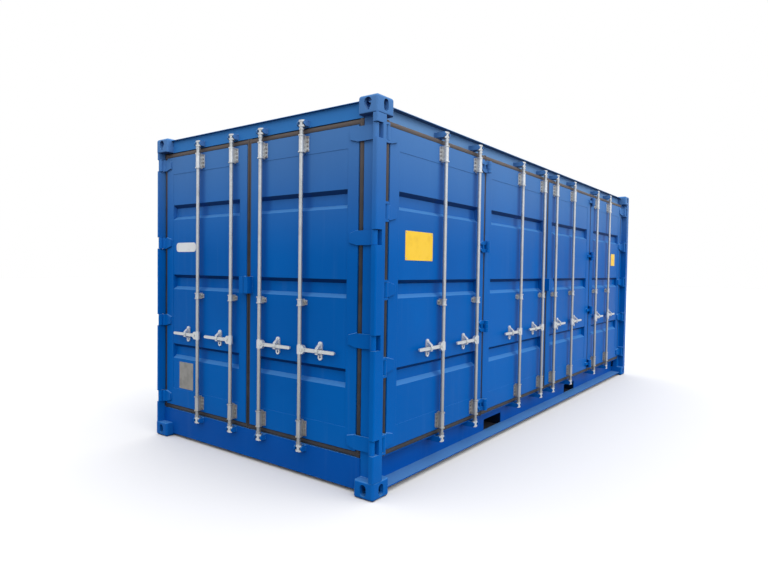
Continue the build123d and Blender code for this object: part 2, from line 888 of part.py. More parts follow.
# The stiles of the edges that meet are narrower, so that the ribs of a pair keep their distance
meeting_trim = half_meeting - half_gap
rear_stiles = (rear_stile, rear_stile - meeting_trim)
outer_stiles = (side_stile, side_stile)
inner_stiles = (side_stile, side_stile - meeting_trim)
doors = {
    "rear_left_door": (rear_wall, rear_left_u, (jamb_reach, meeting_reach), rear_rods[:2], 1, -1),
    "rear_right_door": (rear_wall, rear_right_u, (meeting_reach, jamb_reach), rear_rods[2:], 1, 1),
    "side_door_1": (side_wall, door_1_u, (jamb_reach, fold_reach), near_rods, -1, -1),
    "side_door_2": (side_wall, door_2_u, (fold_reach, meeting_reach), mid_rods, -1, -1),
    "side_door_3": (side_wall, mirrored(door_2_u), (meeting_reach, fold_reach), mirrored(mid_rods), -1, 1),
    "side_door_4": (side_wall, mirrored(door_1_u), (fold_reach, jamb_reach), mirrored(near_rods), -1, 1),
}
stiles = {
    "rear_left_door": rear_stiles,
    "rear_right_door": rear_stiles[::-1],
    "side_door_1": outer_stiles,
    "side_door_2": inner_stiles,
    "side_door_3": inner_stiles[::-1],
    "side_door_4": outer_stiles,
}

panels = {}
for name, (wall, u, gaps, rods, flange_side, handle_way) in doors.items():
    panels[name] = panel(u, stiles[name])
    nodes[name + "_gasket"] = wall * gasket(u, gaps)
    nodes[name + "_ironwork"] = wall * ironwork(rods, flange_side, handle_way)
    for i, rod_u in enumerate(rods):
        nodes[f"{name}_rod_{i + 1}"] = wall * lock_rod(rod_u, handle_way)

# Hinges of the rear doors and of the outer side doors, on pins held by the posts
for z in rear_hinges:
    span = centred(z, blade_height)
    panels["rear_left_door"] += blade(-rear_pin, rear_left_u[0], z, span)
    panels["rear_right_door"] += blade(rear_pin, rear_right_u[1], z, span)
for z in post_hinges:
    span = centred(z, blade_height)
    panels["side_door_1"] += blade(-side_pin, door_1_u[0], z, span)
    panels["side_door_4"] += blade(side_pin, -door_1_u[0], z, span)

# Hinges between the folding side doors: the outer doors hold the pins
folding_pairs = [(-1, "side_door_1", "side_door_2"), (1, "side_door_4", "side_door_3")]
for z in fold_hinges:
    pin_z = centred(z, blade_height)
    for way, outer_name, inner_name in folding_pairs:
        joint = way * fold_joint
        for span in outer_knuckles(z):
            panels[outer_name] += blade(joint, joint + way * half_gap, z, span, bored=False)
        panels[outer_name] += post(joint, pin_depth, pin_radius, pin_z)
        panels[inner_name] += blade(joint, joint - way * half_gap, z, middle_knuckle(z))

# Lock boxes
panels["rear_left_door"] += half_lock_box(rear_joint, -1)
panels["rear_right_door"] += half_lock_box(rear_joint, 1)
panels["side_door_2"] += half_lock_box(0, -1)
panels["side_door_3"] += half_lock_box(0, 1)

for name, body in panels.items():
    nodes[name + "_panel"] = doors[name][0] * body

# Keepers on the rear and side frames
sill_keeper_z = (sill_top - side_sill_flange - keeper_height, sill_top - side_sill_flange)
header_keeper_z = (header_bottom + keeper_margin, header_bottom + keeper_margin + keeper_height)
low_boss = leaf_bottom - cam_reach + jaw_height + jaw_gap / 2
high_boss = leaf_top + cam_reach - jaw_height - jaw_gap / 2
rear_keepers = []
side_keepers = []
for name, (wall, u, gaps, rods, flange_side, handle_way) in doors.items():
    for rod_u in rods:
        if wall is rear_wall:
            rear_keepers.append(wall * keeper(rod_u, rear_beam_face, sill_keeper_z, low_boss))
            rear_keepers.append(wall * keeper(rod_u, rear_beam_face, header_keeper_z, high_boss))
        else:
            side_keepers.append(wall * keeper(rod_u, side_sill_web, sill_keeper_z, low_boss))
            side_keepers.append(wall * keeper(rod_u, side_header_face, header_keeper_z, high_boss))
nodes["rear_keepers"] = Compound(children=rear_keepers)
nodes["side_keepers"] = Compound(children=side_keepers)

for name, shape in nodes.items():
    export_step(shape, f"parts/{name}.step")
print(len(nodes), "nodes")
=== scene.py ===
import math

import bmesh
import bpy
from mathutils import Matrix, Vector


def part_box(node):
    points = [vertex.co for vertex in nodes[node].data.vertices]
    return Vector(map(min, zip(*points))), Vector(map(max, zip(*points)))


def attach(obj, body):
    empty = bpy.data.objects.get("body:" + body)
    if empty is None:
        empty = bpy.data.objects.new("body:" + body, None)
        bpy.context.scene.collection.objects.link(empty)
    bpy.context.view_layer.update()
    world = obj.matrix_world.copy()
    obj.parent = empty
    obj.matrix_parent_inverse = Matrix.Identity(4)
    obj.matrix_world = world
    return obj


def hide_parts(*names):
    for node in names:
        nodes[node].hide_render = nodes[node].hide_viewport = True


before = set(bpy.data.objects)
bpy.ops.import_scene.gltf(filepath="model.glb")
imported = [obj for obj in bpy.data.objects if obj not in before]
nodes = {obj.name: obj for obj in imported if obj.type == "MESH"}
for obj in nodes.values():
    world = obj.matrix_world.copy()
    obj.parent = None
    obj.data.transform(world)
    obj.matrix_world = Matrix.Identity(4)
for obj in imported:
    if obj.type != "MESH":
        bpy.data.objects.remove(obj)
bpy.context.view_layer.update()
scene = bpy.context.scene
scene.view_settings.view_transform = "Standard"
print("container loaded:", len(nodes), "nodes")

# places on the container, in metres
layout = {
    "rearX": -3.029,
    "sideY": -1.219,
    "leafFace": 0.060,
    "leafBottom": 0.280,
    "leafTop": 2.430,
    "rodDepth": 0.024,
    "handleHeight": 0.918,
    "guideHeight": 1.248,
}

# every leaf: its wall, its rods, the side of the bracket flanges and the way of the handles
leaves = {
    "rear_left_door": {"wall": "rear", "rods": (-0.652, -0.228), "flange": 1, "handle": -1},
    "rear_right_door": {"wall": "rear", "rods": (0.108, 0.532), "flange": 1, "handle": 1},
    "side_door_1": {"wall": "side", "rods": (-2.1495, -1.6105), "flange": -1, "handle": -1},
    "side_door_2": {"wall": "side", "rods": (-0.728, -0.175), "flange": -1, "handle": -1},
    "side_door_3": {"wall": "side", "rods": (0.175, 0.728), "flange": -1, "handle": 1},
    "side_door_4": {"wall": "side", "rods": (1.6105, 2.1495), "flange": -1, "handle": 1},
}


# u runs to the right as seen from outside, depth goes inwards from the outer face
def onWall(wall, u, depth, z):
    if wall == "rear":
        return Vector((layout["rearX"] + depth, -u, z))
    return Vector((u, layout["sideY"] + depth, z))


def outOf(wall):
    return Vector((-1, 0, 0)) if wall == "rear" else Vector((0, -1, 0))


def eachRod():
    for body, leaf in leaves.items():
        for i, u in enumerate(leaf["rods"]):
            yield f"{body}_rod_{i + 1}", leaf, u


def evenSteps(low, high, count):
    return [low + (high - low) * i / (count - 1) for i in range(count)]


# node helpers, for shaders and for geometry
def feed(tree, socket, value):
    if isinstance(value, bpy.types.NodeSocket):
        tree.links.new(value, socket)
    elif socket.type == "RGBA":
        socket.default_value = (*value, 1)
    else:
        socket.default_value = value


def feedAll(tree, node, values):
    for label, value in values.items():
        feed(tree, node.inputs[label], value)


def addNode(tree, kind, sockets=None, **settings):
    node = tree.nodes.new(kind)
    for label, value in settings.items():
        setattr(node, label, value)
    feedAll(tree, node, sockets or {})
    return node


def mathOf(tree, operation, *values):
    node = addNode(tree, "ShaderNodeMath", dict(enumerate(values)), operation=operation)
    return node.outputs["Value"]


def timesBy(tree, first, second):
    return mathOf(tree, "MULTIPLY", first, second)


def awayFrom(tree, value, spot):
    return mathOf(tree, "ABSOLUTE", mathOf(tree, "SUBTRACT", value, spot))


def rangeOf(tree, value, low, high, outLow=0.0, outHigh=1.0, smooth=True):
    sockets = {
        "Value": value,
        "From Min": low,
        "From Max": high,
        "To Min": outLow,
        "To Max": outHigh,
    }
    curve = "SMOOTHSTEP" if smooth else "LINEAR"
    node = addNode(tree, "ShaderNodeMapRange", sockets, interpolation_type=curve)
    return node.outputs["Result"]


def blendColours(tree, factor, first, second):
    sockets = {"Factor": factor, "A": first, "B": second}
    return addNode(tree, "ShaderNodeMix", sockets, data_type="RGBA").outputs["Result"]


def placeOf(tree, which="Object"):
    return addNode(tree, "ShaderNodeTexCoord").outputs[which]


def splitOf(tree, vector):
    return addNode(tree, "ShaderNodeSeparateXYZ", {"Vector": vector}).outputs


def noiseOf(tree, place, scale, detail, distortion=0.0):
    sockets = {"Vector": place, "Scale": scale, "Detail": detail, "Distortion": distortion}
    return addNode(tree, "ShaderNodeTexNoise", sockets).outputs["Fac"]


def stretchOf(tree, place, scale):
    sockets = {"Vector": place, "Scale": scale}
    return addNode(tree, "ShaderNodeMapping", sockets).outputs["Vector"]


def newGroup(name, inputs, outputs):
    tree = bpy.data.node_groups.new(name, "ShaderNodeTree")
    kind = "NodeSocketFloat"
    for label, value in inputs.items():
        socket = tree.interface.new_socket(name=label, in_out="INPUT", socket_type=kind)
        socket.default_value = value
    for label in outputs:
        tree.interface.new_socket(name=label, in_out="OUTPUT", socket_type=kind)
    return tree, tree.nodes.new("NodeGroupInput").outputs, tree.nodes.new("NodeGroupOutput")


# soft patches of tone and a fine skin, in object space
patchShape = {"patchDetail": 4.0, "skinDetail": 1.0}


def buildPatches(look):
    inputs = {"Patch Scale": 1.3, "Skin Scale": 260.0}
    tree, given, sink = newGroup("softPatches", inputs, ("Patches", "Skin"))
    place = placeOf(tree)
    patches = noiseOf(tree, place, given["Patch Scale"], look["patchDetail"])
    skin = noiseOf(tree, place, given["Skin Scale"], look["skinDetail"])
    feedAll(tree, sink, {"Patches": patches, "Skin": skin})
    return tree


# rain runs: noise drawn out along Z
runShape = {"stretch": (1.0, 1.0, 0.05), "detail": 3.0, "softness": 0.22}


def buildRuns(look):
    inputs = {"Run Width": 22.0, "Threshold": 0.56}
    tree, given, sink = newGroup("rainRuns", inputs, ("Runs",))
    place = stretchOf(tree, placeOf(tree), look["stretch"])
    noise = noiseOf(tree, place, given["Run Width"], look["detail"])
    end = mathOf(tree, "ADD", given["Threshold"], look["softness"])
    feedAll(tree, sink, {"Runs": rangeOf(tree, noise, given["Threshold"], end)})
    return tree


# how high on the container a point is and whether its face looks up or down
heightShape = {
    "noiseScale": 3.5,
    "noiseDetail": 5.0,
    "lowStart": 0.1,
    "upward": (0.25, 0.95),
    "downward": (-0.3, -0.8),
}


def buildHeights(look):
    inputs = {"Dust Top": 0.55, "Upper Start": 1.5, "Upper End": 2.7, "Low Top": 2.2}
    outputs = ("Dust", "Fade", "Low", "Upward", "Downward")
    tree, given, sink = newGroup("heightMasks", inputs, outputs)
    place = placeOf(tree)
    height = splitOf(tree, place)["Z"]
    noise = noiseOf(tree, place, look["noiseScale"], look["noiseDetail"])
    dusty = rangeOf(tree, height, 0.0, given["Dust Top"], 1.0, 0.0)
    low = rangeOf(tree, height, look["lowStart"], given["Low Top"], 1.0, 0.0, smooth=False)
    lean = splitOf(tree, addNode(tree, "ShaderNodeNewGeometry").outputs["True Normal"])["Z"]
    masks = {
        "Dust": timesBy(tree, dusty, noise),
        "Fade": rangeOf(tree, height, given["Upper Start"], given["Upper End"]),
        "Low": low,
        "Upward": rangeOf(tree, lean, *look["upward"]),
        "Downward": rangeOf(tree, lean, *look["downward"]),
    }
    feedAll(tree, sink, masks)
    return tree


# zinc flakes
def buildSpangle():
    tree, given, sink = newGroup("zincSpangle", {"Flake Scale": 90.0}, ("Flakes",))
    sockets = {"Vector": placeOf(tree), "Scale": given["Flake Scale"]}
    cells = addNode(tree, "ShaderNodeTexVoronoi", sockets)
    grey = addNode(tree, "ShaderNodeSeparateColor", {"Color": cells.outputs["Color"]})
    feedAll(tree, sink, {"Flakes": grey.outputs["Red"]})
    return tree


softPatches = buildPatches(patchShape)
rainRuns = buildRuns(runShape)
heightMasks = buildHeights(heightShape)
zincSpangle = buildSpangle()


def placeGroup(tree, group, values=None):
    return addNode(tree, "ShaderNodeGroup", values, node_tree=group).outputs


def placePatches(tree, look):
    values = {"Patch Scale": look["patchScale"], "Skin Scale": look["skinScale"]}
    return placeGroup(tree, softPatches, values)


def newMaterial(name, fixed):
    material = bpy.data.materials.new(name)
    material.use_nodes = True
    tree = material.node_tree
    shader = tree.nodes["Principled BSDF"]
    feedAll(tree, shader, fixed)
    return material, tree, shader


def addBump(tree, shader, height, look):
    sockets = {"Height": height, "Strength": look["bump"], "Distance": look["bumpDepth"]}
    if "edgeRound" in look:
        sides = addNode(tree, "ShaderNodeBevel", {"Radius": look["edgeRound"]}, samples=4)
        sockets["Normal"] = sides.outputs["Normal"]
    bump = addNode(tree, "ShaderNodeBump", sockets)
    feedAll(tree, shader, {"Normal": bump.outputs["Normal"]})


# container paint: blue, paler towards the roof, a painted sky sheen with fade, with faint runs and
# dust low down; faces that look up get a painted highlight with dust, faces that look down painted
# shade
paintLook = {
    "blue": (0.0004, 0.115, 0.450),
    "deeper": (0.0002, 0.101, 0.408),
    "fadeAndSheen": (0.140, 0.290, 0.530),
    "dust": (0.150, 0.180, 0.230),
    "dustAndSheen": (0.085, 0.255, 0.520),
    "shadedTone": (0.0002, 0.048, 0.280),
    "undersideShade": (0.0040, 0.012, 0.060),
    "fadeAndSheenShare": 0.58,
    "runShare": 0.04,
    "dustShare": 0.05,
    "dustAndSheenShare": 0.60,
    "undersideShadeShare": 0.75,
    "shadedShare": 0.50,
    "rodShadowReach": (0.012, 0.070),
    "outerLean": (-0.2, -0.5),
    "patchScale": 1.3,
    "skinScale": 240.0,
    "runWidth": 20.0,
    "runThreshold": 0.55,
    "toneFrom": (0.35, 0.65),
    "roughFrom": (0.3, 0.7),
    "rough": (0.30, 0.42),
    "specular": 0.03,
    "bump": 0.05,
    "bumpDepth": 0.0006,
    "edgeRound": 0.003,
}


# painted shadow behind each rod: a mask that is 1 on a line behind each rod and fades out to its
# sides, on the outer face of a leaf
def bandsBehind(tree, axis, places, look):
    along = splitOf(tree, placeOf(tree))[axis]
    lean = splitOf(tree, placeOf(tree, "Normal"))["Y" if axis == "X" else "X"]
    total = 0.0
    for spot in places:
        band = rangeOf(tree, awayFrom(tree, along, spot), *look["rodShadowReach"], 1.0, 0.0)
        total = mathOf(tree, "MAXIMUM", total, band)
    return timesBy(tree, total, rangeOf(tree, lean, *look["outerLean"]))


def makePaint(name, look, axis=None, places=()):
    material, tree, shader = newMaterial(name, {"Specular IOR Level": look["specular"]})
    patches = placePatches(tree, look)
    values = {"Run Width": look["runWidth"], "Threshold": look["runThreshold"]}
    runs = placeGroup(tree, rainRuns, values)
    heights = placeGroup(tree, heightMasks)
    tone = rangeOf(tree, patches["Patches"], *look["toneFrom"])
    colour = blendColours(tree, tone, look["deeper"], look["blue"])
    layers = [
        # paler towards the roof: a painted sky sheen with fade
        (heights["Fade"], "fadeAndSheenShare", "fadeAndSheen"),
        (runs["Runs"], "runShare", "fadeAndSheen"),
        (heights["Dust"], "dustShare", "dust"),
        # faces that look up: a painted highlight with dust
        (heights["Upward"], "dustAndSheenShare", "dustAndSheen"),
        # faces that look down: painted shade
        (heights["Downward"], "undersideShadeShare", "undersideShade"),
    ]
    if places:
        # a painted shadow behind each rod
        layers.append((bandsBehind(tree, axis, places, look), "shadedShare", "shadedTone"))
    for mask, share, tint in layers:
        colour = blendColours(tree, timesBy(tree, mask, look[share]), colour, look[tint])
    rough = rangeOf(tree, patches["Patches"], *look["roughFrom"], *look["rough"])
    feedAll(tree, shader, {"Base Color": colour, "Roughness": rough})
    addBump(tree, shader, patches["Skin"], look)
    return material


# what all zinc has in common
zincSkin = {
    "metallic": 0.55,
    "flakeScale": 70.0,
    "patchScale": 6.0,
    "skinScale": 420.0,
    "wornFrom": (0.52, 0.72),
    "wornShare": 0.5,
    "rough": (0.36, 0.52),
    "bump": 0.08,
    "bumpDepth": 0.0005,
}
# galvanised rods: dull tube, brighter where the cams and the handle are welded on
zincLook = {
    **zincSkin,
    "light": (0.56, 0.58, 0.59),
    "dark": (0.48, 0.50, 0.51),
    "dull": (0.38, 0.39, 0.39),
    "shadedTone": (0.21, 0.21, 0.20),
    "shadedShare": 0.75,
    "cast": (0.58, 0.60, 0.61),
    "castShare": 0.85,
    "castHalf": (0.034, 0.042),
    "castLow": (0.250, 0.236),
    "castHigh": (2.460, 2.474),
}
# brackets, guides and handle catches
castLook = {
    **zincSkin,
    "light": (0.70, 0.72, 0.73),
    "dark": (0.56, 0.58, 0.59),
    "dull": (0.42, 0.43, 0.43),
    "shadedTone": (0.30, 0.30, 0.29),
    "shadedShare": 0.85,
    "cast": (0.68, 0.69, 0.70),
    "castShare": 0.8,
    "castHalf": (0.070, 0.080),
    "castLow": (0.200, 0.190),
    "castHigh": (2.500, 2.510),
}
# bolts, with a little rust
boltLook = {
    **zincSkin,
    "light": (0.44, 0.43, 0.41),
    "dark": (0.34, 0.32, 0.30),
    "dull": (0.26, 0.17, 0.12),
    "shadedTone": (0.20, 0.17, 0.15),
    "shadedShare": 0.6,
}


# the heights at which a rod carries its handle and its cams
def castParts(tree, look):
    height = splitOf(tree, placeOf(tree))["Z"]
    away = awayFrom(tree, height, layout["handleHeight"])
    total = rangeOf(tree, away, *look["castHalf"], 1.0, 0.0)
    for label in ("castLow", "castHigh"):
        total = mathOf(tree, "MAXIMUM", total, rangeOf(tree, height, *look[label]))
    return total


def makeZinc(name, look):
    material, tree, shader = newMaterial(name, {"Metallic": look["metallic"]})
    flakes = placeGroup(tree, zincSpangle, {"Flake Scale": look["flakeScale"]})["Flakes"]
    patches = placePatches(tree, look)
    colour = blendColours(tree, flakes, look["dark"], look["light"])
    worn = rangeOf(tree, patches["Patches"], *look["wornFrom"], 0.0, look["wornShare"])
    colour = blendColours(tree, worn, colour, look["dull"])
    # darker towards the bottom: a painted darker reflection of the ground, with grime
    lowDarkening = timesBy(tree, placeGroup(tree, heightMasks)["Low"], look["shadedShare"])
    colour = blendColours(tree, lowDarkening, colour, look["shadedTone"])
    if "cast" in look:
        cast = timesBy(tree, castParts(tree, look), look["castShare"])
        colour = blendColours(tree, cast, colour, look["cast"])
    rough = rangeOf(tree, flakes, 0.0, 1.0, *look["rough"])
    feedAll(tree, shader, {"Base Color": colour, "Roughness": rough})
    addBump(tree, shader, patches["Skin"], look)
    return material


# door rubber: paler towards the top, chalk with a painted highlight, muddy at the foot
rubberLook = {
    "black": (0.016, 0.017, 0.022),
    "dusty": (0.036, 0.036, 0.042),
    "chalkAndHighlight": (0.150, 0.118, 0.105),
    "muddy": (0.120, 0.088, 0.078),
    "chalkAndHighlightShare": 0.7,
    "mudShare": 0.75,
    "heights": {"Upper Start": 1.6, "Upper End": 2.6, "Dust Top": 0.36},
    "patchScale": 9.0,
    "skinScale": 300.0,
    "dustFrom": (0.40, 0.70),
    "roughFrom": (0.3, 0.7),
    "rough": (0.45, 0.65),
    "specular": 0.25,
    "bump": 0.12,
    "bumpDepth": 0.0006,
    "edgeRound": 0.009,
}


def makeRubber(name, look):
    material, tree, shader = newMaterial(name, {"Specular IOR Level": look["specular"]})
    patches = placePatches(tree, look)
    dust = rangeOf(tree, patches["Patches"], *look["dustFrom"])
    colour = blendColours(tree, dust, look["black"], look["dusty"])
    heights = placeGroup(tree, heightMasks, look["heights"])
    layers = ((heights["Fade"], "chalkAndHighlightShare", "chalkAndHighlight"), (heights["Dust"], "mudShare", "muddy"))
    for mask, share, tint in layers:
        colour = blendColours(tree, timesBy(tree, mask, look[share]), colour, look[tint])
    rough = rangeOf(tree, patches["Patches"], *look["roughFrom"], *look["rough"])
    feedAll(tree, shader, {"Base Color": colour, "Roughness": rough})
    addBump(tree, shader, patches["Skin"], look)
    return material


# floor boards: brown plywood with the grain along X
boardLook = {
    "light": (0.270, 0.150, 0.075),
    "dark": (0.150, 0.080, 0.040),
    "stretch": (1.2, 26.0, 26.0),
    "grainScale": 3.0,
    "grainDetail": 8.0,
    "grainDistortion": 0.6,
    "grainFrom": (0.35, 0.7),
    "toneShare": 0.4,
    "scuffScale": 1.8,
    "scuffFrom": (0.5, 0.75),
    "scuffShare": 0.45,
    "roughFrom": (0.3, 0.7),
    "rough": (0.5, 0.7),
    "specular": 0.3,
    "bump": 0.2,
    "bumpDepth": 0.001,
}


def makeBoards(name, look):
    material, tree, shader = newMaterial(name, {"Specular IOR Level": look["specular"]})
    place = stretchOf(tree, placeOf(tree), look["stretch"])
    grain = noiseOf(
        tree, place, look["grainScale"], look["grainDetail"], look["grainDistortion"]
    )
    shade = rangeOf(tree, grain, *look["grainFrom"])
    colour = blendColours(tree, shade, look["dark"], look["light"])
    board = addNode(tree, "ShaderNodeAttribute", attribute_name="boardTone").outputs["Fac"]
    colour = blendColours(tree, timesBy(tree, board, look["toneShare"]), colour, look["dark"])
    patches = placeGroup(tree, softPatches, {"Patch Scale": look["scuffScale"]})["Patches"]
    scuffs = rangeOf(tree, patches, *look["scuffFrom"], 0.0, look["scuffShare"])
    colour = blendColours(tree, scuffs, colour, look["dark"])
    rough = rangeOf(tree, grain, *look["roughFrom"], *look["rough"])
    feedAll(tree, shader, {"Base Color": colour, "Roughness": rough})
    addBump(tree, shader, grain, look)
    return material


# plates and stickers
plateSkin = {
    "patchScale": 14.0,
    "wornFrom": (0.45, 0.75),
    "wornShare": 0.6,
    "roughFrom": (0.3, 0.7),
    "roughSpread": 0.15,
}
yellowLook = {
    **plateSkin,
    "colour": (0.930, 0.585, 0.012),
    "worn": (0.800, 0.480, 0.020),
    "metallic": 0.0,
    "rough": 0.35,
}
whiteLook = {
    **plateSkin,
    "colour": (0.750, 0.770, 0.790),
    "worn": (0.600, 0.620, 0.640),
    "metallic": 0.0,
    "rough": 0.4,
}
greyLook = {
    **plateSkin,
    "colour": (0.250, 0.245, 0.230),
    "worn": (0.170, 0.168, 0.160),
    "metallic": 0.3,
    "rough": 0.45,
}


def makePlate(name, look):
    material, tree, shader = newMaterial(name, {"Metallic": look["metallic"]})
    patches = placeGroup(tree, softPatches, {"Patch Scale": look["patchScale"]})["Patches"]
    share = rangeOf(tree, patches, *look["wornFrom"], 0.0, look["wornShare"])
    colour = blendColours(tree, share, look["colour"], look["worn"])
    roughest = look["rough"] + look["roughSpread"]
    rough = rangeOf(tree, patches, *look["roughFrom"], look["rough"], roughest)
    feedAll(tree, shader, {"Base Color": colour, "Roughness": rough})
    return material


# closed walls and roof: less of the painted sheen and fade at the top and less painted highlight on
# faces that look up
wallLook = {**paintLook, "fadeAndSheenShare": 0.26, "dustAndSheenShare": 0.22, "runShare": 0.10}
# side header: the palest top, a painted sky sheen with fade
sideHeaderLook = {**paintLook, "fadeAndSheen": (0.205, 0.405, 0.710), "fadeAndSheenShare": 0.78}
# rear header: its pale top, the painted sheen with fade, is a deeper blue
rearHeaderLook = {**paintLook, "fadeAndSheen": (0.067, 0.260, 0.596)}
# sills: a deeper blue
sillLook = {
    **paintLook,
    "blue": (0.0003, 0.082, 0.390),
    "deeper": (0.0002, 0.073, 0.358),
    "dustShare": 0.03,
    "dustAndSheen": (0.115, 0.285, 0.525),
}
# the tunnels for the forks: painted dark, the shade inside them
pocketShadeLook = {
    **paintLook,
    "blue": (0.0020, 0.012, 0.040),
    "deeper": (0.0030, 0.006, 0.014),
    "dustAndSheen": (0.060, 0.055, 0.055),
    "dust": (0.060, 0.050, 0.045),
}
# weld beads: their upward faces nearly all pale, a painted highlight with dust
weldLook = {**paintLook, "dustAndSheen": (0.160, 0.360, 0.620), "dustAndSheenShare": 0.95}

rearRods = [-u for rodBody, leaf, u in eachRod() if leaf["wall"] == "rear"]
sideRods = [u for rodBody, leaf, u in eachRod() if leaf["wall"] == "side"]
bluePaint = makePaint("bluePaint", paintLook)
weldPaint = makePaint("weldPaint", weldLook)
rearLeafPaint = makePaint("rearLeafPaint", paintLook, "Y", rearRods)
sideLeafPaint = makePaint("sideLeafPaint", paintLook, "X", sideRods)
wallPaint = makePaint("wallPaint", wallLook)
sideHeaderPaint = makePaint("sideHeaderPaint", sideHeaderLook)
rearHeaderPaint = makePaint("rearHeaderPaint", rearHeaderLook)
sillPaint = makePaint("sillPaint", sillLook)
pocketShadePaint = makePaint("pocketShadePaint", pocketShadeLook)
galvanised = makeZinc("galvanised", zincLook)
castZinc = makeZinc("castZinc", castLook)
boltZinc = makeZinc("boltZinc", boltLook)
doorRubber = makeRubber("doorRubber", rubberLook)
floorBoards = makeBoards("floorBoards", boardLook)
yellowPlate = makePlate("yellowPlate", yellowLook)
whiteSticker = makePlate("whiteSticker", whiteLook)
greyPlate = makePlate("greyPlate", greyLook)
print("materials made")

# finishes of the CAD nodes that have one of their own
finishes = {
    "floor": floorBoards,
    "fork_pockets": pocketShadePaint,
    "side_header": sideHeaderPaint,
    "rear_header": rearHeaderPaint,
    "side_sill": sillPaint,
    "rear_sill": sillPaint,
    "left_wall": wallPaint,
    "front_wall": wallPaint,
    "roof_panel": wallPaint,
    "left_top_rail": wallPaint,
    "front_top_rail": wallPaint,
}


def finishOf(name):
    if name in finishes:
        return finishes[name]
    if name.endswith("_gasket"):
        return doorRubber
    if name.endswith("_ironwork"):
        return castZinc
    if "_rod_" in name:
        return galvanised
    if name.endswith("_panel"):
        return rearLeafPaint if name.startswith("rear") else sideLeafPaint
    return bluePaint


for name, node in nodes.items():
    node.data.materials.clear()
    node.data.materials.append(finishOf(name))
print("nodes dressed")


# helpers for pieces
def addObject(name, data):
    thing = bpy.data.objects.new(name, data)
    scene.collection.objects.link(thing)
    return thing


def fromShape(name, shape):
    mesh = bpy.data.meshes.new(name)
    shape.to_mesh(mesh)
    shape.free()
    return addObject(name, mesh)


def fromFaces(name, points, faces, finish, body):
    mesh = bpy.data.meshes.new(name)
    mesh.from_pydata(points, [], faces)
    mesh.materials.append(finish)
    piece = addObject(name, mesh)
    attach(piece, body)
    return piece


# the modifier's result becomes the piece's mesh
def settle(piece, modifier):
    graph = bpy.context.evaluated_depsgraph_get()
    mesh = bpy.data.meshes.new_from_object(piece.evaluated_get(graph))
    piece.modifiers.remove(modifier)
    piece.data = mesh
    return mesh


# corner castings worn round: each one is cut to a block with rounded edges
castings = {
    "nodes": ("bottom_castings", "top_castings"),
    "size": (0.178, 0.162),
    "round": 0.020,
    "steps": 6,
    "profile": 0.5,
    "slack": 0.0001,
    "towardsPost": 0.010,
    "mergeWithin": 0.00002,
}


def roundedBlocks(nodeName, look):
    low, high = (Vector(corner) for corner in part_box(nodeName))
    slack = Vector((look["slack"],) * 3)
    innerX = high.x - look["size"][0]
    innerY = high.y - look["size"][1]
    if nodeName.startswith("top"):
        low.z -= look["towardsPost"]
    else:
        high.z += look["towardsPost"]
    shape = bmesh.new()
    for wayX, wayY in ((-1, -1), (-1, 1), (1, -1), (1, 1)):
        inner = Vector((wayX * innerX, wayY * innerY, low.z))
        outer = Vector((wayX * high.x, wayY * high.y, high.z))
        size = Vector(abs(side) for side in outer - inner) + 2 * slack
        place = Matrix.Translation((inner + outer) / 2) @ Matrix.Diagonal((*size, 1))
        bmesh.ops.create_cube(shape, size=1, matrix=place)
    bmesh.ops.bevel(
        shape,
        geom=shape.edges[:],
        offset=look["round"],
        segments=look["steps"],
        profile=look["profile"],
        affect="EDGES",
    )
    return fromShape(nodeName + "_blocks", shape)


def roundCastings(nodeName, look):
    shape = bmesh.new()
    shape.from_mesh(nodes[nodeName].data)
    bmesh.ops.remove_doubles(shape, verts=shape.verts, dist=look["mergeWithin"])
    piece = fromShape(nodeName + "_rounded", shape)
    blocks = roundedBlocks(nodeName, look)
    cut = piece.modifiers.new("round", "BOOLEAN")
    cut.operation = "INTERSECT"
    cut.solver = "EXACT"
    cut.object = blocks
    rounded = settle(piece, cut)
    bpy.data.objects.remove(blocks)
    rounded.materials.clear()
    rounded.materials.append(bluePaint)
    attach(piece, "frame")
    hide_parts(nodeName)
    print(nodeName, "rounded:", len(rounded.polygons), "faces")


for nodeName in castings["nodes"]:
    roundCastings(nodeName, castings)


# geometry node helpers
def newTree(name, inputs):
    tree = bpy.data.node_groups.new(name, "GeometryNodeTree")
    flow = {"name": "Geometry", "socket_type": "NodeSocketGeometry"}
    tree.interface.new_socket(in_out="INPUT", **flow)
    for label, kind, value in inputs:
        socket = tree.interface.new_socket(
            name=label, in_out="INPUT", socket_type="NodeSocket" + kind
        )
        if value is not None:
            socket.default_value = value
    tree.interface.new_socket(in_out="OUTPUT", **flow)
    return tree, tree.nodes.new("NodeGroupInput").outputs, tree.nodes.new("NodeGroupOutput")


def closeTree(tree, given, sink, grown):
    real = addNode(tree, "GeometryNodeRealizeInstances", {"Geometry": grown})
    sockets = {"Geometry": real.outputs["Geometry"], "Material": given["Finish"]}
    coat = addNode(tree, "GeometryNodeSetMaterial", sockets)
    feedAll(tree, sink, {"Geometry": coat.outputs["Geometry"]})
    return tree


def inputIds(tree):
    items = tree.interface.items_tree
    return {item.name: item.identifier for item in items if item.in_out == "INPUT"}


def growPiece(name, mesh, tree, values, body):
    piece = addObject(name, mesh)
    modifier = piece.modifiers.new("grow", "NODES")
    modifier.node_group = tree
    ids = inputIds(tree)
    for label, value in values.items():
        modifier[ids[label]] = value
    settle(piece, modifier).name = name
    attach(piece, body)
    return piece


def pathMesh(name, paths):
    points = [point for path in paths for point in path]
    edges = []
    start = 0
    for path in paths:
        edges += [(start + i, start + i + 1) for i in range(len(path) - 1)]
        start += len(path)
    mesh = bpy.data.meshes.new(name)
    mesh.from_pydata(points, edges, [])
    return mesh


def pointMesh(name, spots):
    mesh = bpy.data.meshes.new(name)
    mesh.from_pydata([place for place, way in spots], [], [])
    facing = mesh.attributes.new("facing", "FLOAT_VECTOR", "POINT")
    for i, (place, way) in enumerate(spots):
        facing.data[i].vector = way
    return mesh


